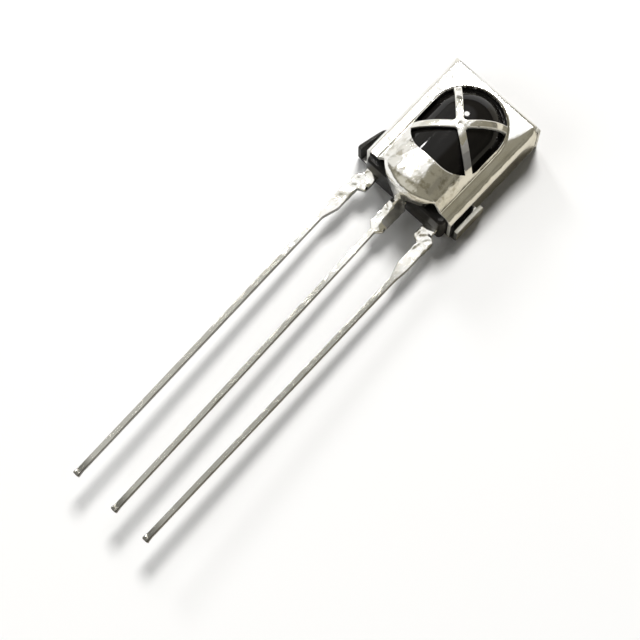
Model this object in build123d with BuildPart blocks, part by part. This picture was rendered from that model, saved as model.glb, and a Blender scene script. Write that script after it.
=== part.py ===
from build123d import *
import os

os.makedirs("parts", exist_ok=True)

# Infrared receiver module, lying on its back as it rests.
# X runs across the width, the leads run towards -Y, and +Z is the lens side.
# The origin is the middle of the back plate's outer face.

# Shield: one folded sheet
shield_width = 5.9
shield_height = 6.9
shield_depth = 3.0
sheet = 0.2
side_bend = 0.45
end_bend = 0.28
corner_relief = 0.28

# Hump drawn up over the lens: an arch that ends in a ball at the top
hump_radius = 2.32
hump_rise = 1.65
hump_from_top = 2.6
draw_bend = 0.14

# Window in the hump and the cross left over it
window_radius = 2.1
window_shift = 0.08
window_corner = 1.45
bridge = 1.48
cross_drop = 0.5
arm_width = 0.4
arm_root = 0.18
upper_arm_angle = 46
lower_arm_angle = 36
mark_radius = 0.3
mark_depth = 0.04

# Lip bent down over the lower end, which runs out into the ground tab
lip_height = 0.85
tab_width = 0.48
tab_flare = 0.12
arch_offset = 0.72
arch_height = 0.28
lobe_offset = 1.15
lobe_height = 0.22
slope_offset = 0.75

# Locking ears beside the lower corners, and the openings behind them
right_ear_start = 0.1
right_ear_length = 2.05
left_ear_start = 0
left_ear_length = 1.8
ear_height = 1.85
ear_bend = 0.28
ear_round = 0.55
ear_corner = 0.15
opening_from_end = 0.3
opening_length = 1.45
opening_low = 0.9
opening_height = 1.55
opening_corner = 0.15

# Leads
lead_pitch = 2.54
lead_width = 0.3
lead_thickness = 0.38
lead_reach = 22.44
lead_plane = 1.4
lead_rise = 0.9
output_lean = 0.42
ground_lean = 0.54
supply_lean = 0.2
tip_chamfer = 0.05
root_width = 0.735
root_length = 0.95
root_jog = 0.33
root_cover = 0.25
root_inset = 0.4
root_slope = 0.2
root_round = 0.1
shoulder_width = 0.65
shoulder_length = 2.6
shoulder_taper = 0.9
bar_width = 0.9
bar_start = 0.25
bar_length = 1.7
bar_taper = 0.3
neck_width = 0.6
finger_past = 0.35

# Moulding
moulding_out = 0.5
moulding_draft = 3
moulding_corner = 0.3
moulding_round = 0.15
lens_setback = 0.25

# Chips on the middle lead's pad
pad_width = 2.6
pad_below = 0.175
pad_above = 0.5
diode_side = 1.9
diode_thickness = 0.28
circuit_width = 1.5
circuit_height = 1.15
circuit_thickness = 0.25
chip_gap = 0.425
glue = 0.03
wire = 0.05
wire_rise = 0.24
wire_foot = 0.06
wire_inset = 0.15

# Named clearances
side_clearance = 0.05
front_clearance = 0.05
top_clearance = 0.05
lens_clearance = 0.05
seam_gap = 0.06
right_ear_gap = 0.2
left_ear_gap = 0.43

# Places worked out from the sizes
half_width = shield_width / 2
shield_low = -shield_height / 2
shield_high = shield_height / 2
hump_axis = shield_depth + hump_rise - hump_radius
hump_half = (hump_radius**2 - (shield_depth - hump_axis) ** 2) ** 0.5
dome_y = shield_high - hump_from_top
cross_y = dome_y - cross_drop
window_low = shield_low + bridge
window_y = dome_y + window_shift
lip_axis = shield_depth + lip_height
lip_half = (hump_radius**2 - (lip_axis - hump_axis) ** 2) ** 0.5
lead_top = lead_plane + lead_thickness / 2
lead_bottom = lead_plane - lead_thickness / 2
lead_tip = shield_low - lead_reach
body_half = half_width - sheet - side_clearance
body_low = shield_low - moulding_out
body_high = shield_high - sheet - top_clearance
body_front = shield_depth - sheet - front_clearance
lens_radius = hump_radius - sheet - lens_clearance

# How near an edge or a corner must lie to be picked
near = 0.01


def hump(radius, low_end, floor):
    # an arch from low_end up to the dome, closed there by a ball
    with BuildPart() as shape:
        with BuildSketch(Plane.XZ.offset(-low_end)):
            with Locations((0, hump_axis)):
                Circle(radius)
            with Locations((0, floor)):
                Rectangle(
                    2 * radius,
                    2 * radius,
                    align=(Align.CENTER, Align.MIN),
                    mode=Mode.INTERSECT,
                )
        extrude(amount=low_end - dome_y)
        with BuildSketch(Plane.XZ.offset(-dome_y)):
            with Locations((0, hump_axis)):
                Circle(radius)
            with Locations((0, floor)):
                Rectangle(
                    radius,
                    2 * radius,
                    align=(Align.MIN, Align.MIN),
                    mode=Mode.INTERSECT,
                )
        revolve(axis=Axis((0, dome_y, 0), (0, 0, 1)), revolution_arc=360)
    return shape


hump_outside = hump(hump_radius, shield_low, shield_depth - sheet / 2)
hump_hollow = hump(hump_radius - sheet, shield_low - sheet, shield_depth - 2 * sheet)
lens = hump(lens_radius, shield_low + lens_setback, body_front - sheet)

# Lip and ground tab: the arch turned down about a line across the module
with BuildPart() as ground_tab:
    with BuildSketch(Plane.XZ.offset(-shield_low)):
        with Locations((0, hump_axis)):
            Circle(hump_radius)
            Circle(hump_radius - sheet, mode=Mode.SUBTRACT)
        with Locations((0, lip_axis)):
            Rectangle(
                2 * hump_radius,
                hump_radius,
                align=(Align.CENTER, Align.MIN),
                mode=Mode.INTERSECT,
            )
    revolve(axis=Axis((0, shield_low, lip_axis), (1, 0, 0)), revolution_arc=90)
    lip_end = ground_tab.faces().sort_by(Axis.Z)[0]
    extrude(lip_end, amount=lip_axis - lead_top)
    # outline of the tab: a slope on its left, an arch and a lobe on its right
    tab_half = tab_width / 2
    with BuildSketch(Plane.XZ.offset(-shield_low)):
        with BuildLine():
            Line((-tab_half, lead_top), (tab_half, lead_top))
            Spline(
                (tab_half, lead_top),
                (tab_half + tab_flare, shield_depth - tab_flare),
                (arch_offset, shield_depth + arch_height),
                (lobe_offset, shield_depth + lobe_height),
                (lip_half, lip_axis),
                tangents=((0, 1), (0.6, 1)),
            )
            Polyline(
                (lip_half, lip_axis),
                (lip_half, lip_axis + hump_radius),
                (-lip_half, lip_axis + hump_radius),
                (-lip_half, lip_axis),
            )
            Spline(
                (-lip_half, lip_axis),
                (-slope_offset, shield_depth),
                (-tab_half, lead_top),
                tangents=((0.6, -1), (0, -1)),
            )
        make_face()
    extrude(amount=2 * hump_radius, both=True, mode=Mode.INTERSECT)


def folded(width, low_end, high_end, floor, top, side_radius, end_radius):
    # a box with the two bends along its sides and the one across its closed end
    with BuildPart() as shape:
        with BuildSketch(Plane.XZ.offset(-low_end)) as section:
            with Locations((0, floor)):
                Rectangle(width, top - floor, align=(Align.CENTER, Align.MIN))
            fillet(section.vertices().group_by(Axis.Y)[-1], side_radius)
        extrude(amount=low_end - high_end)
        with BuildSketch(Plane.YZ) as side_view:
            with Locations((low_end, floor)):
                Rectangle(high_end - low_end, top - floor, align=(Align.MIN, Align.MIN))
            fillet(side_view.vertices().group_by(Axis.Y)[-1].sort_by(Axis.X)[-1], end_radius)
        extrude(amount=width, both=True, mode=Mode.INTERSECT)
    return shape


shield_block = folded(
    shield_width,
    shield_low,
    shield_high,
    0,
    shield_depth,
    side_bend,
    end_bend,
)
shield_hollow = folded(
    shield_width - 2 * sheet,
    shield_low - sheet,
    shield_high - sheet,
    sheet,
    shield_depth - sheet,
    side_bend - sheet,
    end_bend - sheet,
)

# Window in four parts, so that a cross is left over the lens
with BuildPart() as window:
    with BuildSketch(Plane.XY.offset(shield_depth - 2 * sheet)) as window_outline:
        with Locations((0, window_low)):
            Rectangle(
                2 * window_radius,
                window_y - window_low,
                align=(Align.CENTER, Align.MIN),
            )
        fillet(window_outline.vertices().group_by(Axis.Y)[0], window_corner)
        with Locations((0, window_y)):
            Circle(window_radius)
        for arm_angle in (
            upper_arm_angle,
            180 - upper_arm_angle,
            180 + lower_arm_angle,
            -lower_arm_angle,
        ):
            with Locations(Location((0, cross_y, 0), (0, 0, arm_angle))):
                Rectangle(
                    2 * hump_radius,
                    arm_width,
                    align=(Align.MIN, Align.CENTER),
                    mode=Mode.SUBTRACT,
                )
        middle = Vector(0, cross_y, 0)
        inner_corners = window_outline.vertices().filter_by(
            lambda v: (Vector(v.X, v.Y, 0) - middle).length < arm_width
        )
        fillet(inner_corners, arm_root)
    extrude(amount=hump_rise + 3 * sheet)


def locking_ear(gap, start, length):
    # the back plate widens at the lower right corner and folds up, clear of the side wall
    with BuildPart() as shape:
        with BuildSketch(Plane.XZ.offset(-shield_low - start)):
            with BuildLine():
                ear_line = FilletPolyline(
                    (half_width - 2 * sheet, 0),
                    (half_width + gap + sheet, 0),
                    (half_width + gap + sheet, ear_height),
                    radius=ear_bend,
                )
                offset(ear_line, sheet, side=Side.LEFT)
            make_face()
        extrude(amount=-length)
        ear_tops = shape.edges().filter_by(Axis.X).group_by(Axis.Z)[-1].sort_by(Axis.Y)
        fillet(ear_tops[-1], ear_round)
        fillet(ear_tops[0], ear_corner)
    return shape


right_ear = locking_ear(right_ear_gap, right_ear_start, right_ear_length)
left_ear = locking_ear(left_ear_gap, left_ear_start, left_ear_length)

# The shield, folded round the moulding
with BuildPart() as shield:
    add(shield_block.part)
    add(shield_hollow.part, mode=Mode.SUBTRACT)
    add(hump_outside.part)
    add(hump_hollow.part, mode=Mode.SUBTRACT)
    # drawing radius where the hump leaves the front plate
    hump_base = (
        shield.edges()
        .filter_by(lambda e: abs(e.center().Z - shield_depth) < near)
        .filter_by(lambda e: abs(e.center().X) < hump_half + near)
        .filter_by(lambda e: shield_low + sheet < e.center().Y < dome_y + hump_half + near)
    )
    fillet(hump_base, draw_bend)
    add(window.part, mode=Mode.SUBTRACT)
    # punch mark in the middle of the cross
    with Locations((0, cross_y, shield_depth + hump_rise - mark_depth + mark_radius)):
        Sphere(mark_radius, mode=Mode.SUBTRACT)
    for side in (-1, 1):
        # the side walls hang from the front plate, free of the back plate
        with Locations((side * half_width, 0, sheet)):
            Box(
                3 * sheet,
                2 * shield_height,
                seam_gap,
                align=(Align.CENTER, Align.CENTER, Align.MIN),
                mode=Mode.SUBTRACT,
            )
        # and free of the top wall
        with Locations((side * half_width, shield_high - sheet, 0)):
            Box(
                3 * sheet,
                seam_gap,
                2 * (shield_depth - corner_relief),
                align=(Align.CENTER, Align.MAX, Align.CENTER),
                mode=Mode.SUBTRACT,
            )
        # relief where the three bends would meet
        with Locations((side * half_width, shield_high, shield_depth)):
            Box(
                2 * corner_relief,
                2 * (sheet + seam_gap),
                2 * corner_relief,
                mode=Mode.SUBTRACT,
            )
    # openings through both side walls
    with BuildSketch(Plane.YZ):
        with Locations((shield_low + opening_from_end, opening_low)):
            RectangleRounded(
                opening_length,
                opening_height,
                opening_corner,
                align=(Align.MIN, Align.MIN),
            )
    extrude(amount=shield_width, both=True, mode=Mode.SUBTRACT)
    add(right_ear.part)
    mirror(left_ear.part, about=Plane.YZ)
    add(ground_tab.part)

# The diode lies under the dome, the circuit below it, and the pad reaches past both
circuit_high = dome_y - diode_side / 2 - chip_gap
circuit_y = circuit_high - circuit_height / 2
pad_start = circuit_high - circuit_height - pad_below
pad_end = dome_y + diode_side / 2 + pad_above

# Side view of every lead: level as far as the shoulder, then rising a little to the tip
shoulder_end = body_low - shoulder_length
rise_start = shoulder_end - shoulder_taper
with BuildPart() as lead_side:
    with BuildSketch(Plane.YZ):
        with BuildLine():
            Polyline(
                (pad_end, lead_bottom),
                (rise_start, lead_bottom),
                (lead_tip, lead_bottom + lead_rise),
                (lead_tip, lead_top + lead_rise),
                (rise_start, lead_top),
                (pad_end, lead_top),
                close=True,
            )
        make_face()
    extrude(amount=shield_width, both=True)

# Outer leads: the root is widened towards the middle, the free end leans a little
inner_side = lead_pitch - lead_width / 2
outer_side = lead_pitch + lead_width / 2
root_outer = body_half - root_cover
root_inner = root_outer - root_width
shoulder_inner = root_inner + root_inset
shoulder_outer = shoulder_inner + shoulder_width
finger_high = circuit_y + finger_past


def outer_lead(side, lean):
    # side is 1 for the lead on the right and -1 for the one on the left
    with BuildPart() as shape:
        with BuildSketch() as outline:
            with BuildLine():
                Polyline(
                    (side * inner_side + lean, lead_tip),
                    (side * outer_side + lean, lead_tip),
                    (side * outer_side, rise_start),
                    (side * shoulder_outer, shoulder_end),
                    (side * shoulder_outer, body_low - 2 * root_jog),
                    (side * root_outer, body_low - root_jog),
                    (side * root_outer, finger_high),
                    (side * root_inner, finger_high),
                    (side * root_inner, body_low - root_length),
                    (side * shoulder_inner, body_low - root_length - root_slope),
                    (side * shoulder_inner, shoulder_end),
                    (side * inner_side, rise_start),
                    close=True,
                )
            make_face()
            chamfer(outline.vertices().group_by(Axis.Y)[0], tip_chamfer)
            root_corners = outline.vertices().filter_by(
                lambda v: body_low - root_length - root_slope - near < v.Y < body_low
            )
            fillet(root_corners, root_round)
        extrude(amount=shield_depth)
        add(lead_side.part, mode=Mode.INTERSECT)
    return shape


lead_left = outer_lead(-1, output_lean)
lead_right = outer_lead(1, supply_lean)

# Middle lead with the pad that carries both chips
bar_low = body_low - bar_start - bar_length
with BuildPart() as lead_middle:
    with BuildSketch() as middle_outline:
        with BuildLine():
            half_outline = Polyline(
                (lead_width / 2, bar_low - bar_taper),
                (bar_width / 2, bar_low),
                (bar_width / 2, bar_low + bar_length),
                (neck_width / 2, bar_low + bar_length + bar_start / 2),
                (neck_width / 2, pad_start - bar_taper),
                (pad_width / 2, pad_start),
                (pad_width / 2, pad_end),
                (0, pad_end),
            )
            mirror(half_outline, about=Plane.YZ)
            Polyline(
                (-lead_width / 2, bar_low - bar_taper),
                (ground_lean - lead_width / 2, lead_tip),
                (ground_lean + lead_width / 2, lead_tip),
                (lead_width / 2, bar_low - bar_taper),
            )
        make_face()
        chamfer(middle_outline.vertices().group_by(Axis.Y)[0], tip_chamfer)
    extrude(amount=shield_depth)
    add(lead_side.part, mode=Mode.INTERSECT)

# Photodiode under the lens and receiver circuit below it, each on its adhesive
bottom_face = (Align.CENTER, Align.CENTER, Align.MIN)
with BuildPart() as diode_glue:
    with Locations((0, dome_y, lead_top)):
        Box(diode_side, diode_side, glue, align=bottom_face)

with BuildPart() as diode_chip:
    with Locations((0, dome_y, lead_top + glue)):
        Box(diode_side, diode_side, diode_thickness, align=bottom_face)

with BuildPart() as circuit_glue:
    with Locations((0, circuit_y, lead_top)):
        Box(circuit_width, circuit_height, glue, align=bottom_face)

with BuildPart() as circuit_chip:
    with Locations((0, circuit_y, lead_top + glue)):
        Box(circuit_width, circuit_height, circuit_thickness, align=bottom_face)


def bond_wire(start, finish):
    # straight up from its start, then down at a slant, and straight onto its end
    with BuildPart() as shape:
        with BuildLine():
            Polyline(
                start,
                (start[0], start[1], start[2] + wire_rise),
                (finish[0], finish[1], finish[2] + wire_foot),
                finish,
            )
        with BuildSketch(Plane(origin=start, z_dir=(0, 0, 1))):
            Circle(wire / 2)
        sweep(transition=Transition.RIGHT)
    return shape


diode_top = lead_top + glue + diode_thickness
circuit_top = lead_top + glue + circuit_thickness
circuit_side = circuit_width / 2 - wire_inset
finger_middle = (root_inner + root_outer) / 2
wire_diode = bond_wire(
    (0, dome_y - diode_side / 2 + wire_inset, diode_top),
    (0, circuit_y + circuit_height / 2 - wire_inset, circuit_top),
)
wire_output = bond_wire(
    (-circuit_side, circuit_y, circuit_top),
    (-finger_middle, circuit_y, lead_top),
)
wire_supply = bond_wire(
    (circuit_side, circuit_y, circuit_top),
    (finger_middle, circuit_y, lead_top),
)
wire_ground = bond_wire(
    (-circuit_side, circuit_y - circuit_height / 2 + wire_inset, circuit_top),
    (wire_inset - pad_width / 2, circuit_y - circuit_height / 2 + wire_inset, lead_top),
)

# Black moulding round the lead frame, parted at the middle of the leads
with BuildPart() as body:
    with BuildSketch(Plane.XY.offset(lead_plane)) as body_outline:
        with Locations((0, body_low)):
            Rectangle(
                2 * body_half,
                body_high - body_low,
                align=(Align.CENTER, Align.MIN),
            )
        fillet(body_outline.vertices(), moulding_corner)
    extrude(body_outline.sketch, amount=body_front - lead_plane, taper=moulding_draft)
    fillet(body.faces().sort_by(Axis.Z)[-1].edges(), moulding_round)
    extrude(body_outline.sketch, amount=sheet - lead_plane, taper=moulding_draft)
    add(lens.part)
    # each piece sealed inside has its own pocket
    for sealed in (
        lead_left,
        lead_middle,
        lead_right,
        diode_glue,
        diode_chip,
        circuit_glue,
        circuit_chip,
        wire_diode,
        wire_output,
        wire_supply,
        wire_ground,
    ):
        add(sealed.part, mode=Mode.SUBTRACT)

shield.part.label = "metal_shield"
export_step(shield.part, "parts/metal_shield.step")
body.part.label = "epoxy_body"
export_step(body.part, "parts/epoxy_body.step")
lead_left.part.label = "lead_output"
export_step(lead_left.part, "parts/lead_output.step")
lead_middle.part.label = "lead_ground"
export_step(lead_middle.part, "parts/lead_ground.step")
lead_right.part.label = "lead_supply"
export_step(lead_right.part, "parts/lead_supply.step")
diode_chip.part.label = "photodiode_chip"
export_step(diode_chip.part, "parts/photodiode_chip.step")
diode_glue.part.label = "photodiode_glue"
export_step(diode_glue.part, "parts/photodiode_glue.step")
circuit_chip.part.label = "receiver_chip"
export_step(circuit_chip.part, "parts/receiver_chip.step")
circuit_glue.part.label = "receiver_glue"
export_step(circuit_glue.part, "parts/receiver_glue.step")
wire_diode.part.label = "wire_diode"
export_step(wire_diode.part, "parts/wire_diode.step")
wire_output.part.label = "wire_output"
export_step(wire_output.part, "parts/wire_output.step")
wire_supply.part.label = "wire_supply"
export_step(wire_supply.part, "parts/wire_supply.step")
wire_ground.part.label = "wire_ground"
export_step(wire_ground.part, "parts/wire_ground.step")
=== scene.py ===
import math

import bmesh
import bpy
from mathutils import Euler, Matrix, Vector
from mathutils.bvhtree import BVHTree


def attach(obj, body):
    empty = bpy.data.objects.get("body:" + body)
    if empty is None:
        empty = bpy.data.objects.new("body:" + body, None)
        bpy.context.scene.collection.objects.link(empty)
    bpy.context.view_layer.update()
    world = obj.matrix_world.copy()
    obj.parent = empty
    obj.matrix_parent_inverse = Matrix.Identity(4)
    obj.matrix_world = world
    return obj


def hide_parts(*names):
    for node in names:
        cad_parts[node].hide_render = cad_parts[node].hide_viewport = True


# Looks of the infrared receiver module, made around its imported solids.
# X runs across the module, the leads run towards -Y, +Z is the lens side.
# Settings and meshes in the making are in mm, finished pieces in metres. Angles are in degrees.

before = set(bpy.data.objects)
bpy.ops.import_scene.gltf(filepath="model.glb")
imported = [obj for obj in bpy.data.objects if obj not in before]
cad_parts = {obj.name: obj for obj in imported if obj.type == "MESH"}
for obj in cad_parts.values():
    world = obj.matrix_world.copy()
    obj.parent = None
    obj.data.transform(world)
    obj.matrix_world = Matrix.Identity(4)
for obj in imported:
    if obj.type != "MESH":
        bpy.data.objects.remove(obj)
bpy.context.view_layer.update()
scene = bpy.context.scene
mm = 0.001
print("frame loaded,", len(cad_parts), "nodes")


# Camera, at the angle of the photograph

view = {
    "place": (18.839, -27.366, 105.991),
    "turn": (12.7105, 1.0739, 43.2304),  # about X, Y and Z
    "lens": 116.945,
    "sensor": 36,
    "seenFrom": 5,
    "seenTo": 5000,
}


def makeCamera(view):
    data = bpy.data.cameras.new("camera")
    data.lens = view["lens"]
    data.sensor_width = view["sensor"]
    data.clip_start = view["seenFrom"] * mm
    data.clip_end = view["seenTo"] * mm
    camera = bpy.data.objects.new("camera", data)
    camera.location = Vector(view["place"]) * mm
    camera.rotation_euler = Euler([math.radians(angle) for angle in view["turn"]])
    scene.collection.objects.link(camera)
    scene.camera = camera


makeCamera(view)
scene.view_settings.view_transform = "Standard"
print("camera set")


# Node trees


class Signal:  # a socket that takes part in sums
    def __init__(self, graph, socket):
        self.graph = graph
        self.socket = socket

    def maths(self, operation, first, second):
        return self.graph.node("ShaderNodeMath", {"operation": operation}, {0: first, 1: second})

    def __add__(self, other):
        return self.maths("ADD", self, other)

    __radd__ = __add__

    def __sub__(self, other):
        return self.maths("SUBTRACT", self, other)

    def __rsub__(self, other):
        return self.maths("SUBTRACT", other, self)

    def __mul__(self, other):
        return self.maths("MULTIPLY", self, other)


class Graph:  # a node tree, with one way to make any node
    def __init__(self, tree):
        self.tree = tree
        tree.nodes.clear()

    def node(self, kind, settings=None, inputs=None, output=0):
        made = self.tree.nodes.new(kind)
        for name, value in (settings or {}).items():
            setattr(made, name, value)
        for name, value in (inputs or {}).items():
            if isinstance(value, Signal):
                self.tree.links.new(value.socket, made.inputs[name])
            else:
                made.inputs[name].default_value = value
        return Signal(self, made.outputs[output]) if made.outputs else made

    def mix(self, mask, first, second):  # first where the mask is 0, second where it is 1
        first = first if isinstance(first, Signal) else (*first, 1)
        second = second if isinstance(second, Signal) else (*second, 1)
        inputs = {0: mask, 6: first, 7: second}
        return self.node("ShaderNodeMix", {"data_type": "RGBA"}, inputs, output=2)

    def step(self, value, low, high):  # 0 below low, 1 above high, smooth between
        settings = {"interpolation_type": "SMOOTHSTEP"}
        return self.node("ShaderNodeMapRange", settings, {0: value, 1: low, 2: high})

    def place(self, stretch=(1, 1, 1)):  # the point on the piece, in mm, stretched for a grain
        point = self.node("ShaderNodeTexCoord", output="Object")
        scale = [share / mm for share in stretch]
        return self.node("ShaderNodeMapping", None, {"Vector": point, "Scale": scale})

    def part(self, point, axis):
        return self.node("ShaderNodeSeparateXYZ", None, {0: point}, output=axis)

    def noise(self, point, scale, detail=3, roughness=0.5):
        sizes = {"Vector": point, "Scale": scale, "Detail": detail, "Roughness": roughness}
        return self.node("ShaderNodeTexNoise", None, sizes)

    def marked(self, name):  # a mark that the faces of a piece carry
        return self.node("ShaderNodeAttribute", {"attribute_name": name}, output="Fac")

    def bump(self, height, depth, strength, under=None):
        sizes = {"Strength": strength, "Distance": depth * mm, "Height": height}
        if under:
            sizes["Normal"] = under
        return self.node("ShaderNodeBump", None, sizes)

    def close(self, inputs):
        surface = self.node("ShaderNodeBsdfPrincipled", None, inputs)
        self.node("ShaderNodeOutputMaterial", None, {"Surface": surface})


def newFinish(name):
    material = bpy.data.materials.new(name)
    material.use_nodes = True
    return material, Graph(material.node_tree)


# Finishes. A noise is its scale per mm, detail and roughness, and an edge is where it begins
# and is full.

tin = {
    "bright": (0.9, 0.89, 0.865),
    "dull": (0.76, 0.735, 0.66),
    "dullShare": 0.55,
    "cut": (0.8, 0.78, 0.7),
    "cutShare": 0.8,
    "cutMetal": 0.25,  # how metallic a cut edge is
    # painted shade: near black, for faces that lie in shade or mirror dark
    "paintedShade": (0.018, 0.017, 0.015),
    "paintedShadeShare": (0.94, 0.06),  # everywhere, and more in the grain
    # painted reflection: a mottled tan on the low part of the hump, as the tin mirrors a darker
    # room
    "paintedReflection": (0.42, 0.39, 0.3),
    "paintedReflectionShare": 0.7,
    "paintedReflectionNoise": (2.3, 3, 0.6),
    "paintedReflectionEdge": (0.48, 0.66),
    "paintedReflectionAlong": (-2.1, -1.4),  # full and gone, on the hump towards the leads
    "paintedReflectionHeights": (3.15, 3.6),  # gone and full
    # painted shade in the crease where the pressed hump rises from the flat
    "paintedCreaseShade": (0.16, 0.15, 0.12),
    "paintedCreaseShadeShare": (0.45, 0.35),  # everywhere, and more in a cloud
    "paintedCreaseShadeHeights": (3.0, 3.03, 3.08, 3.13),  # where the pressed hump rises from the flat
    "roughness": 0.13,
    # roughness that each mark adds
    "rougher": {"cloud": 0.06, "grain": 0.05, "fleck": 0.05, "cut": 0.2, "paintedShade": 0.4},
    "cloudNoise": (0.7, 4, 0.6),
    "cloudEdge": (0.42, 0.68),
    "grainNoise": (14, 3, 0.5),
    "grainStretch": (1, 0.15, 1),
    "grainDepth": 0.004,
    "grainStrength": 0.35,
    "fleckNoise": (7, 2, 0.5),
    "fleckEdge": (0.6, 0.72),
    "waveNoise": (0.8, 2, 0.4),  # of the pressed sheet
    "waveDepth": 0.06,
    "dentNoise": (2.1, 2, 0.4),
    "dentDepth": 0.03,
}


def leadMarks(graph, tin, colour, grain, along):
    # the dull length of a lead and its dark end
    length = 1 - graph.step(along, tin["lengthFrom"][1], tin["lengthFrom"][0])
    everywhere, inGrain = tin["lengthShare"]
    colour = graph.mix(length * (everywhere + grain * inGrain), colour, tin["length"])
    end = 1 - graph.step(along, tin["endFrom"][1], tin["endFrom"][0])
    return graph.mix(end * tin["endShare"], colour, tin["end"]), length


def sheetShadeAndReflection(graph, tin, colour, cloud, point, along):
    # painted shade in the crease round the hump, and a painted tan reflection on the hump
    height = graph.part(point, "Z")
    low, dark, light, high = tin["paintedCreaseShadeHeights"]
    paintedCreaseShade = graph.step(height, low, dark) * (1 - graph.step(height, light, high))
    everywhere, inCloud = tin["paintedCreaseShadeShare"]
    colour = graph.mix(paintedCreaseShade * (everywhere + cloud * inCloud), colour, tin["paintedCreaseShade"])
    # painted reflection, tan in a mottle, on the hump towards the leads
    near = 1 - graph.step(along, *tin["paintedReflectionAlong"])
    hump = graph.step(height, *tin["paintedReflectionHeights"]) * near
    paintedReflection = graph.step(graph.noise(point, *tin["paintedReflectionNoise"]), *tin["paintedReflectionEdge"])
    return graph.mix(hump * paintedReflection * tin["paintedReflectionShare"], colour, tin["paintedReflection"])


def tinFinish(name, tin):
    # bright tin over steel: clouds, a rolled grain, waves and dents from the press, bare steel
    # on the cut edges, and painted shade on the faces marked for it
    material, graph = newFinish(name)
    point = graph.place()
    along = graph.part(point, "Y")
    cloud = graph.step(graph.noise(point, *tin["cloudNoise"]), *tin["cloudEdge"])
    grain = graph.noise(graph.place(tin["grainStretch"]), *tin["grainNoise"])
    fleck = graph.step(graph.noise(point, *tin["fleckNoise"]), *tin["fleckEdge"])
    wave = graph.noise(point, *tin["waveNoise"]) * tin["waveDepth"]
    dent = graph.noise(point, *tin["dentNoise"]) * tin["dentDepth"]
    cut = graph.marked("cut")
    paintedShade = graph.marked("paintedShade")
    colour = graph.mix(cloud * tin["dullShare"], tin["bright"], tin["dull"])
    if "length" in tin:
        colour, length = leadMarks(graph, tin, colour, grain, along)
        dent = dent * (1 - length * tin["lengthSmooth"])
    else:
        colour = sheetShadeAndReflection(graph, tin, colour, cloud, point, along)
    colour = graph.mix(cut * tin["cutShare"], colour, tin["cut"])
    everywhere, inGrain = tin["paintedShadeShare"]
    # painted shade on the marked faces, which also lose their metal and turn rough
    colour = graph.mix(paintedShade * (everywhere + grain * inGrain), colour, tin["paintedShade"])
    rough = tin["roughness"]
    marks = {"cloud": cloud, "grain": grain, "fleck": fleck, "cut": cut, "paintedShade": paintedShade}
    for mark, more in tin["rougher"].items():
        rough = rough + marks[mark] * more
    metal = (1 - paintedShade) * (1 - cut * (1 - tin["cutMetal"]))
    pressed = graph.bump(wave + dent, 1, 1.0)
    bump = graph.bump(grain + cloud, tin["grainDepth"], tin["grainStrength"], pressed)
    graph.close({"Base Color": colour, "Metallic": metal, "Roughness": rough, "Normal": bump})
    return material


epoxy = {
    "black": (0.0055, 0.0052, 0.005),
    "brown": (0.009, 0.0078, 0.0068),
    "cloudNoise": (1.2, 3, 0.5),
    "cloudHeight": 0.15,
    "sparkNoise": (16, 3, 0.6),
    "sparkDepth": 0.01,
    "sparkStrength": 0.4,
    "mattRoughness": (0.34, 0.1),  # everywhere, and more in the spark texture
    "lensRoughness": (0.05, 0.03),  # everywhere, and more in a cloud
    "lensHeights": (2.78, 2.9),  # where the polished lens begins and is full
    "specular": 0.2,
}


def epoxyFinish(name, epoxy):
    # black moulding: fine spark texture on its flats, polished on the lens
    material, graph = newFinish(name)
    point = graph.place()
    lens = graph.step(graph.part(point, "Z"), *epoxy["lensHeights"])
    spark = graph.noise(point, *epoxy["sparkNoise"])
    cloud = graph.noise(point, *epoxy["cloudNoise"])
    matt = epoxy["mattRoughness"][0] + spark * epoxy["mattRoughness"][1]
    shine = epoxy["lensRoughness"][0] + cloud * epoxy["lensRoughness"][1]
    height = spark * (1 - lens) + cloud * epoxy["cloudHeight"]
    graph.close({
        "Base Color": graph.mix(cloud, epoxy["black"], epoxy["brown"]),
        "Roughness": matt * (1 - lens) + shine * lens,
        "Specular IOR Level": epoxy["specular"],
        "Normal": graph.bump(height, epoxy["sparkDepth"], epoxy["sparkStrength"]),
    })
    return material


inner = {
    "rougher": 0.15,  # roughness that the grain adds
    "finishes": {
        # name: two tones, roughness, metallic, scale of the grain per mm
        "silicon": ((0.13, 0.14, 0.17), (0.22, 0.2, 0.25), 0.12, 0.6, 5),
        "adhesive": ((0.5, 0.48, 0.44), (0.62, 0.6, 0.55), 0.5, 0.5, 12),
        "gold": ((0.86, 0.63, 0.24), (0.74, 0.52, 0.2), 0.22, 1.0, 20),
    },
}


def innerFinish(name, inner):
    # what is sealed inside: two tones and a grain
    first, second, roughness, metallic, scale = inner["finishes"][name]
    material, graph = newFinish(name)
    grain = graph.noise(graph.place(), scale)
    graph.close({
        "Base Color": graph.mix(grain, first, second),
        "Metallic": metallic,
        "Roughness": roughness + grain * inner["rougher"],
    })
    return material


shieldTin = tinFinish("shieldTin", tin)
blackEpoxy = epoxyFinish("blackEpoxy", epoxy)
innerFinishes = {name: innerFinish(name, inner) for name in inner["finishes"]}
print("finishes made")


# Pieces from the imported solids, with rounded edges

making = {
    "merge": 0.0008,  # between corners of the solid that are one
    "probe": 0.002,  # how far under a face the sheet's thickness is measured
    "probeTo": 20,  # further than any sheet or piece is thick
    "cutOver": 1.6,  # sheets of thickness under a face that make it a cut one
    "flat": 0.5,  # angle up to which faces are joined
    "profile": 0.5,  # of a bevel that is round
    "clean": 0.003,  # the shortest edge that is kept
}


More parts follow.
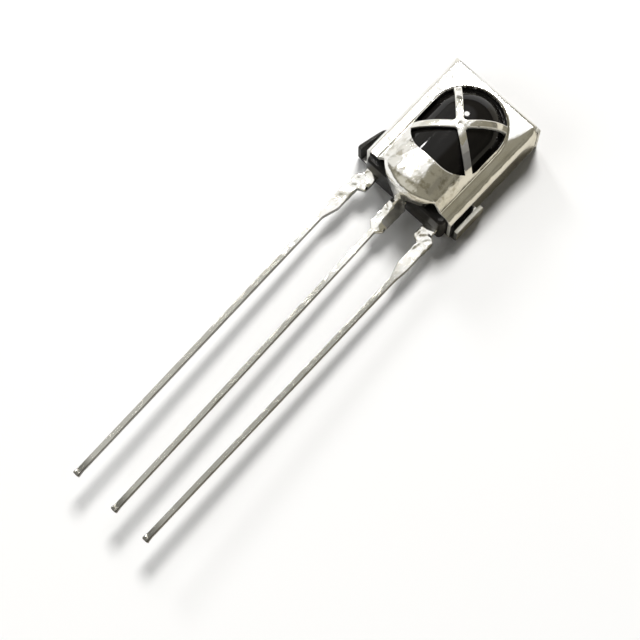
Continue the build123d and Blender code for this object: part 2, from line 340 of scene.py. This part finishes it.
def solidCopy(nodeName, sheet=None):
    # the node's triangles merged, in mm, with the cut faces of a sheet marked
    copy = bmesh.new()
    copy.from_mesh(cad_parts[nodeName].data)
    bmesh.ops.scale(copy, vec=Vector((1, 1, 1)) / mm, verts=copy.verts)
    bmesh.ops.remove_doubles(copy, verts=copy.verts, dist=making["merge"])
    cut = copy.faces.layers.float.new("cut")
    if sheet:
        tree = BVHTree.FromBMesh(copy)
        for face in copy.faces:
            inside = face.calc_center_median() - face.normal * making["probe"]
            depth = tree.ray_cast(inside, -face.normal, making["probeTo"])[3]
            plate = depth is not None and depth < making["cutOver"] * sheet
            face[cut] = 0.0 if plate else 1.0
    flat = math.radians(making["flat"])
    bmesh.ops.dissolve_limit(copy, angle_limit=flat, verts=copy.verts, edges=copy.edges)
    return copy


def bevelEdges(copy, edges, width, segments, clamp=True):
    return bmesh.ops.bevel(
        copy,
        geom=edges,
        offset=width,
        offset_type="OFFSET",
        segments=segments,
        profile=making["profile"],
        affect="EDGES",
        clamp_overlap=clamp,
    )


def roundEdges(copy, piece):
    sharpAngle = math.radians(piece["sharpAngle"])
    shared = [edge for edge in copy.edges if len(edge.link_faces) == 2]
    sharp = [edge for edge in shared if edge.calc_face_angle() > sharpAngle]
    bevelEdges(copy, sharp, piece["edgeRound"], piece["edgeSegments"])


def slicePiece(copy, axis, places):
    # cuts across an axis, so that the mesh can bend there
    normal = Vector(axis)
    for place in places:
        everything = copy.verts[:] + copy.edges[:] + copy.faces[:]
        bmesh.ops.bisect_plane(copy, geom=everything, plane_co=normal * place, plane_no=normal)


def evenPlaces(first, gap, count):
    return [first + gap * step for step in range(count)]


def limit(value, low, high):
    return min(max(value, low), high)


def between(value, low, high):  # 0 up to low, 1 from high
    return limit((value - low) / (high - low), 0, 1)


def within(point, low, high):
    return all(low[axis] < point[axis] < high[axis] for axis in range(3))


def newPiece(name, copy, material, smoothAngle):
    bmesh.ops.remove_doubles(copy, verts=copy.verts, dist=making["clean"])
    bmesh.ops.dissolve_degenerate(copy, edges=copy.edges, dist=making["clean"])
    bmesh.ops.scale(copy, vec=Vector((mm, mm, mm)), verts=copy.verts)
    mesh = bpy.data.meshes.new(name)
    copy.to_mesh(mesh)
    copy.free()
    mesh.materials.append(material)
    mesh.shade_smooth()
    mesh.set_sharp_from_angle(angle=math.radians(smoothAngle))
    piece = bpy.data.objects.new(name, mesh)
    scene.collection.objects.link(piece)
    weigh = piece.modifiers.new("weigh", "WEIGHTED_NORMAL")
    weigh.keep_sharp = True
    bakeModifiers(piece)
    return piece


def bakeModifiers(piece):
    shown = piece.evaluated_get(bpy.context.evaluated_depsgraph_get())
    mesh = bpy.data.meshes.new_from_object(shown)
    piece.modifiers.clear()
    piece.data = mesh


shield = {
    "sheet": 0.2,
    "edgeRound": 0.028,
    "edgeSegments": 2,
    "sharpAngle": 38,
    "smoothAngle": 50,
    "rimRound": 0.06,
    "rimSegments": 4,
    "rimCut": 0.8,  # how bare the rounded rim is
    "window": ((-2.3, -2.6, 2.9), (2.3, 3.1, 5)),  # corners of a box round its rim
    "frontSlope": 0.2,  # least rise of a normal on the front of the sheet
    "sagFrom": 1.97,  # across, where the flat beside the window begins to lean over
    "sagSlope": 0.33,  # drop per mm beyond the soft beginning
    "sagSpread": 0.1,  # how soft the beginning is
    "sagEnds": (1.6, 3.4),  # along, between which the lean moves out
    "sagShift": 0.75,
    "sagFoot": (0.9, 2.5),  # heights of the firm foot and the fold
    "slicesAcross": (0.06, 14),  # gap and count, from where the lean begins
    "slicesAlong": (-3.4, 0.2, 34),  # first, gap and count
    "slicesUp": (0.9, 0.2, 9),
    "earFrom": -2.985,  # across, the outside of the wall that the left ear leans against
    "earAlong": (-3.3, -1.5),  # where it stands off and leans in fully
    "earLean": 0.72,  # share of the gap that it closes
    # painted shade on the left ear and its gap and round the opening in the right wall, and a
    # painted dark reflection on the low arm of the cross
    "paintedShades": [
        # how dark, lowest corner and highest corner
        (1.0, (-4, -4, 0), (-2.985, 0, 3)),  # the left ear
        (0.93, (2.6, -3.4, 0), (3.25, -1.55, 1.7)),  # round the opening in the right wall
        (0.58, (0.75, -1.2, 3.3), (1.2, 0.4, 5)),  # the low arm of the cross
        (0.76, (1.2, -1.3, 3.0), (1.75, 0.4, 5)),
    ],
}


def sagOf(point, shield):
    # how much lower the pressed sheet lies beside the window, where the fold is softer
    shift = shield["sagShift"] * between(point.y, *shield["sagEnds"])
    out = max(point.x - shield["sagFrom"] - shift, 0)
    up = between(point.z, *shield["sagFoot"])
    return shield["sagSlope"] * out * out / (out + shield["sagSpread"]) * up


def rimEdges(copy, cut, shield):
    # outer edges of the window, where its cut wall meets the front of the sheet
    found = []
    for edge in copy.edges:
        plates = [face for face in edge.link_faces if face[cut] < 0.5]
        fronts = [face for face in plates if face.normal.z > shield["frontSlope"]]
        rim = len(edge.link_faces) == 2 and len(plates) == 1 and len(fronts) == 1
        if rim and within((edge.verts[0].co + edge.verts[1].co) / 2, *shield["window"]):
            found.append(edge)
    return found


def paintShieldShade(copy, shield):
    # marks the faces that get painted shade
    paintedShade = copy.faces.layers.float.new("paintedShade")
    for face in copy.faces:
        middle = face.calc_center_median()
        for dark, low, high in shield["paintedShades"]:
            if within(middle, low, high):
                face[paintedShade] = dark


def makeShield(shield):
    copy = solidCopy("metal_shield", shield["sheet"])
    cut = copy.faces.layers.float["cut"]
    rim = rimEdges(copy, cut, shield)
    print("rim edges,", len(rim))
    rounded = bevelEdges(copy, rim, shield["rimRound"], shield["rimSegments"], clamp=False)
    for face in rounded["faces"]:
        face[cut] = shield["rimCut"]
    roundEdges(copy, shield)
    slicePiece(copy, (1, 0, 0), evenPlaces(shield["sagFrom"], *shield["slicesAcross"]))
    slicePiece(copy, (0, 1, 0), evenPlaces(*shield["slicesAlong"]))
    slicePiece(copy, (0, 0, 1), evenPlaces(*shield["slicesUp"]))
    paintShieldShade(copy, shield)
    for point in [vert.co for vert in copy.verts]:
        point.z -= sagOf(point, shield)
        off = shield["earFrom"] - point.x
        if off > 0:
            point.x += off * shield["earLean"] * between(point.y, *shield["earAlong"])
    return newPiece("shieldShell", copy, shieldTin, shield["smoothAngle"])


moulding = {
    "crownMiddle": -1.7,  # along, of the lens below its dome
    "crownRadius": 14,
    "crownReach": 0.45,  # beyond which it leans evenly
    "crownEnds": (-3.1, 0.85),  # along
    "crownHeights": (2.8, 3.6),  # none and full
    "edgeRound": 0.04,
    "edgeSegments": 2,
    "sharpAngle": 30,
    "smoothAngle": 50,
    "slicesAlong": (-3.1, 0.3, 14),  # first, gap and count
}


def makeMoulding(moulding):
    copy = solidCopy("epoxy_body")
    roundEdges(copy, moulding)
    slicePiece(copy, (0, 1, 0), evenPlaces(*moulding["slicesAlong"]))
    reach = moulding["crownReach"]
    for point in [vert.co for vert in copy.verts]:
        out = limit(point.y, *moulding["crownEnds"]) - moulding["crownMiddle"]
        bow = out * out if out < reach else reach * (2 * out - reach)
        up = between(point.z, *moulding["crownHeights"])
        point.z -= up * bow / (2 * moulding["crownRadius"])
    return newPiece("blackMoulding", copy, blackEpoxy, moulding["smoothAngle"])


leads = {
    "nodes": {
        # node: piece, colour of its dull length, where that begins and is full
        "lead_output": ("leadLeft", (0.39, 0.38, 0.34), (-8, -11)),
        "lead_ground": ("leadMiddle", (0.33, 0.322, 0.285), (-8, -11)),
        "lead_supply": ("leadRight", (0.27, 0.263, 0.232), (-5.6, -8.6)),
    },
    "tin": {
        # what differs from the shield's tin
        "bright": (0.92, 0.91, 0.88),
        "dull": (0.6, 0.56, 0.45),
        "roughness": 0.09,
        "cloudNoise": (1.5, 4, 0.6),
        "grainStretch": (1, 0.08, 1),
        # the sides are bare steel, painted far darker than steel as painted shade for the dark
        # line along a lead's side
        "cut": (0.15, 0.145, 0.128),
        "cutMetal": 1.0,
        "lengthShare": (0.8, 0.2),  # everywhere, and more in the grain
        "lengthSmooth": 0.75,  # share by which the dents fade there
        "end": (0.12, 0.115, 0.1),
        "endFrom": (-24.4, -25.5),
        "endShare": 0.85,
        "dentNoise": (3.2, 2, 0.4),
        "dentDepth": 0.02,
    },
    "edgeRound": 0.09,
    "edgeSegments": 3,
    "sharpAngle": 38,
    "smoothAngle": 70,
    "sideways": 0.75,  # share of a normal that makes its face a cut side
    "endways": 0.8,  # the same for the sheared end
    "slice": 0.2,  # between rings along the lead
    "rootSlice": 0.08,  # the same near the body
    "rootTo": -6.8,
    "ripple": 0.006,
    "rippleScale": 1.4,  # per mm
    "crumple": 0.21,  # of the crimped roots
    "crumpleScale": 2.4,  # per mm
    "crumpleFrom": (-6.6, -5.2),  # where it begins and is full
    "seed": 5,
    "flare": 0.28,  # share by which a sheared end spreads
    "flareLength": 0.35,
}

bar = {
    # the middle lead's bar is folded down to one side
    "node": "lead_ground",
    "foldAcross": -0.12,  # at the body
    "foldDrift": 0.09,  # per mm along
    "foldFrom": -3.9,
    "foldTo": -6.2,
    "foldEase": (0.3, 0.5),  # lengths over which it begins and ends
    "foldAbove": 1.4,  # height
    "slope": 0.55,
    # painted shade on the folded side of the bar
    "paintedShade": 0.6,
    "paintedShadeAlong": (-5.6, -4.0),
}


def rippleTree():
    # tin runs a little thick and thin along a lead, and the crimped root is crumpled
    tree = bpy.data.node_groups.new("tinRipple", "GeometryNodeTree")
    face = tree.interface
    face.new_socket("Geometry", in_out="INPUT", socket_type="NodeSocketGeometry")
    sizes = ["Ripple", "Ripple scale", "Crumple", "Crumple scale", "Crumple from", "Crumple full"]
    for name in [*sizes, "Seed"]:
        face.new_socket(name, in_out="INPUT", socket_type="NodeSocketFloat")
    face.new_socket("Tin", in_out="INPUT", socket_type="NodeSocketMaterial")
    face.new_socket("Geometry", in_out="OUTPUT", socket_type="NodeSocketGeometry")
    graph = Graph(tree)
    position = graph.node("GeometryNodeInputPosition")
    normal = graph.node("GeometryNodeInputNormal")

    def given(name):
        return graph.node("NodeGroupInput", output=name)

    def lumps(height, scale):
        inputs = {"Vector": position, "W": given("Seed"), "Scale": given(scale) * (1 / mm)}
        grain = graph.node("ShaderNodeTexNoise", {"noise_dimensions": "4D"}, inputs)
        return (grain - 0.5) * given(height)

    near = graph.step(graph.part(position, "Y"), given("Crumple from"), given("Crumple full"))
    height = lumps("Ripple", "Ripple scale") + lumps("Crumple", "Crumple scale") * near
    scaled = {0: normal, "Scale": height}
    offset = graph.node("ShaderNodeVectorMath", {"operation": "SCALE"}, scaled)
    pushed = {"Geometry": given("Geometry"), "Offset": offset}
    moved = graph.node("GeometryNodeSetPosition", None, pushed)
    real = graph.node("GeometryNodeRealizeInstances", None, {0: moved})
    dressed = {"Geometry": real, "Material": given("Tin")}
    painted = graph.node("GeometryNodeSetMaterial", None, dressed)
    graph.node("NodeGroupOutput", None, {0: painted})
    return tree


def markCuts(copy, leads):
    cut = copy.faces.layers.float["cut"]
    for face in copy.faces:
        side = abs(face.normal.x) > leads["sideways"]
        end = face.normal.y < -leads["endways"]
        face[cut] = 1.0 if side or end else 0.0


def sliceLead(copy, leads):
    # rings along the lead, close together on the root, and lines across the root
    along = [vert.co.y for vert in copy.verts]
    across = [vert.co.x for vert in copy.verts if vert.co.y > leads["rootTo"]]
    rings = [min(along) + leads["slice"]]
    while rings[-1] < max(along):
        gap = leads["rootSlice"] if rings[-1] > leads["rootTo"] else leads["slice"]
        rings.append(rings[-1] + gap)
    lines = [min(across) + leads["rootSlice"]]
    while lines[-1] < max(across):
        lines.append(lines[-1] + leads["rootSlice"])
    slicePiece(copy, (0, 1, 0), rings[:-1])
    slicePiece(copy, (1, 0, 0), lines[:-1])


def flareEnd(copy, leads):
    # the sheared end spreads
    lowest = min(vert.co.y for vert in copy.verts)
    ends = [vert.co for vert in copy.verts if vert.co.y < lowest + leads["flareLength"]]
    middle = sum(ends, Vector()) / len(ends)
    for point in ends:
        near = 1 - (point.y - lowest) / leads["flareLength"]
        point.x += (point.x - middle.x) * leads["flare"] * near
        point.z += (point.z - middle.z) * leads["flare"] * near


def foldOf(along, bar):
    return bar["foldAcross"] + (bar["foldFrom"] - along) * bar["foldDrift"]


def paintBarShade(copy, bar):
    # painted shade on the folded side
    paintedShade = copy.faces.layers.float["paintedShade"]
    low, high = bar["paintedShadeAlong"]
    for face in copy.faces:
        middle = face.calc_center_median()
        if low < middle.y < high and middle.x > foldOf(middle.y, bar):
            face[paintedShade] = bar["paintedShade"]


def foldBar(copy, bar):
    begin, end = bar["foldEase"]
    for point in [vert.co for vert in copy.verts]:
        beyond = point.x - foldOf(point.y, bar)
        inReach = bar["foldTo"] < point.y < bar["foldFrom"] and point.z > bar["foldAbove"]
        if inReach and beyond > 0:
            begun = (bar["foldFrom"] - point.y) / begin
            left = (point.y - bar["foldTo"]) / end
            point.z -= beyond * bar["slope"] * min(begun, left, 1)


def makeLead(nodeName, leads, bar, tree, order):
    pieceName, length, lengthFrom = leads["nodes"][nodeName]
    made = dict(tin, **leads["tin"], length=length, lengthFrom=lengthFrom)
    leadTin = tinFinish(pieceName + "Tin", made)
    copy = solidCopy(nodeName)
    markCuts(copy, leads)
    roundEdges(copy, leads)
    sliceLead(copy, leads)
    # a layer for painted shade
    copy.faces.layers.float.new("paintedShade")
    flareEnd(copy, leads)
    if nodeName == bar["node"]:
        paintBarShade(copy, bar)
        foldBar(copy, bar)
    piece = newPiece(pieceName, copy, leadTin, leads["smoothAngle"])
    ripple = piece.modifiers.new("ripple", "NODES")
    ripple.node_group = tree
    values = {
        "Ripple": leads["ripple"] * mm,
        "Ripple scale": leads["rippleScale"],
        "Crumple": leads["crumple"] * mm,
        "Crumple scale": leads["crumpleScale"],
        "Crumple from": leads["crumpleFrom"][0] * mm,
        "Crumple full": leads["crumpleFrom"][1] * mm,
        "Seed": float(leads["seed"] + order),
        "Tin": leadTin,
    }
    for socket in tree.interface.items_tree:
        if socket.in_out == "INPUT" and socket.name in values:
            ripple[socket.identifier] = values[socket.name]
    bakeModifiers(piece)
    return piece


shieldShell = makeShield(shield)
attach(shieldShell, "root")
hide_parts("metal_shield")
print("shield made,", len(shieldShell.data.polygons), "faces")

blackMoulding = makeMoulding(moulding)
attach(blackMoulding, "root")
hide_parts("epoxy_body")
print("moulding made,", len(blackMoulding.data.polygons), "faces")

ripples = rippleTree()
for order, nodeName in enumerate(leads["nodes"]):
    lead = makeLead(nodeName, leads, bar, ripples, order)
    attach(lead, "root")
    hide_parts(nodeName)
    print("lead made,", lead.name, len(lead.data.polygons), "faces")


# What is sealed inside keeps its solids

sealed = {
    "photodiode_chip": "silicon",
    "receiver_chip": "silicon",
    "photodiode_glue": "adhesive",
    "receiver_glue": "adhesive",
    "wire_diode": "gold",
    "wire_output": "gold",
    "wire_supply": "gold",
    "wire_ground": "gold",
}


def dressSealed(sealed):
    for nodeName, finish in sealed.items():
        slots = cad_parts[nodeName].data.materials
        slots.clear()
        slots.append(innerFinishes[finish])


dressSealed(sealed)
print("sealed pieces dressed")


# Stage: pale floor, soft lamps, and a room that the tin reflects

floorLook = {
    "size": 900,
    "colour": (0.95, 0.95, 0.945),
    "cloudTone": 0.99,
    "cloudNoise": (0.08, 2),  # scale per mm and detail
    # painted shade in the tin's reflection of the floor: glossy rays see the floor tan on the
    # right
    "mirroredShade": (0.72, 0.68, 0.57),  # as the tin shows it on the right
    "mirroredShadeFrom": (-2, 3),  # across
}

room = {
    "ambient": (0.06, 0.058, 0.053),
    "low": (0.07, 0.065, 0.05),
    "high": (0.28, 0.262, 0.2),
    "highFrom": (-0.1, 0.34),  # height of a direction where low ends and high begins
    "panels": {
        # name: towards, degrees where full, degrees where gone, colour
        "overhead": ((-0.42, 0.3, 0.86), 27, 41, (1.06, 1.06, 1.045)),
        "window": ((-0.93, 0.1, 0.33), 12, 28, (0.9, 0.89, 0.84)),
        "behind": ((-0.1, -0.75, 0.65), 18, 36, (0.62, 0.6, 0.52)),
        "doorway": ((0.8, 0.25, 0.54), 4, 16, (0.2, 0.187, 0.145)),
        "keyLamp": ((-0.34, 0.46, 0.82), 6.5, 8, (60, 59, 58)),
        "smallLamp": ((-0.74, 0.24, 0.63), 1.2, 2.2, (110, 110, 110)),
    },
}

lamps = {
    "aim": (0, -6, 0),
    "lights": {
        # name: place, size, watts, colour
        "key": ((-212, 296, 590), 230, 4.65, (1.0, 0.99, 0.975)),
        "small": ((-520, 172, 345), 150, 0.85, (0.98, 0.99, 1.0)),
        "fill": ((-290, -366, 370), 420, 0.8, (0.97, 0.985, 1.0)),
    },
}


def makeFloor(look):
    half = look["size"] / 2 * mm
    mesh = bpy.data.meshes.new("floor")
    corners = [(-half, -half, 0), (half, -half, 0), (half, half, 0), (-half, half, 0)]
    mesh.from_pydata(corners, [], [(0, 1, 2, 3)])
    material, graph = newFinish("paleFloor")
    point = graph.place()
    clouded = [share * look["cloudTone"] for share in look["colour"]]
    colour = graph.mix(graph.noise(point, *look["cloudNoise"]), look["colour"], clouded)
    # painted shade for glossy rays only, darker to the right
    right = graph.step(graph.part(point, "X"), *look["mirroredShadeFrom"])
    glossy = graph.node("ShaderNodeLightPath", output="Is Glossy Ray")
    colour = graph.mix(glossy * right, colour, look["mirroredShade"])
    surface = graph.node("ShaderNodeBsdfDiffuse", None, {"Color": colour})
    graph.node("ShaderNodeOutputMaterial", None, {"Surface": surface})
    mesh.materials.append(material)
    floor = bpy.data.objects.new("floor", mesh)
    scene.collection.objects.link(floor)


def makeRoom(room):
    # the camera sees white, the tin sees the room, and other rays get the ambient light
    world = bpy.data.worlds.new("room")
    world.use_nodes = True
    scene.world = world
    graph = Graph(world.node_tree)
    towards = graph.node("ShaderNodeTexCoord", output="Generated")
    height = graph.part(towards, "Z")
    seen = graph.mix(graph.step(height, *room["highFrom"]), room["low"], room["high"])
    dot = {"operation": "DOT_PRODUCT"}
    for middle, full, gone, colour in room["panels"].values():
        pair = {0: towards, 1: Vector(middle).normalized()}
        turn = graph.node("ShaderNodeVectorMath", dot, pair, output="Value")
        edge = [math.cos(math.radians(angle)) for angle in (gone, full)]
        seen = graph.mix(graph.step(turn, *edge), seen, colour)
    glossy = graph.node("ShaderNodeLightPath", output="Is Glossy Ray")
    direct = graph.node("ShaderNodeLightPath", output="Is Camera Ray")
    bounced = graph.node("ShaderNodeLightPath", output="Diffuse Depth")
    first = 1 - bounced.maths("MINIMUM", bounced, 1.0)  # 1 until a ray has left a dull surface
    colour = graph.mix(glossy * first, room["ambient"], seen)
    colour = graph.mix(direct, colour, (1, 1, 1))
    light = graph.node("ShaderNodeBackground", None, {"Color": colour, "Strength": 1.0})
    graph.node("ShaderNodeOutputWorld", None, {"Surface": light})


def makeLamps(lamps):
    aim = Vector(lamps["aim"]) * mm
    for name, (place, size, watts, colour) in lamps["lights"].items():
        data = bpy.data.lights.new(name, "AREA")
        data.shape = "DISK"
        data.size = size * mm
        data.energy = watts
        data.color = colour
        lamp = bpy.data.objects.new(name, data)
        lamp.location = Vector(place) * mm
        lamp.rotation_euler = (aim - lamp.location).to_track_quat("-Z", "Y").to_euler()
        lamp.visible_glossy = False  # the room's own panels show in the tin instead
        scene.collection.objects.link(lamp)


makeFloor(floorLook)
makeRoom(room)
makeLamps(lamps)
print("stage lit")
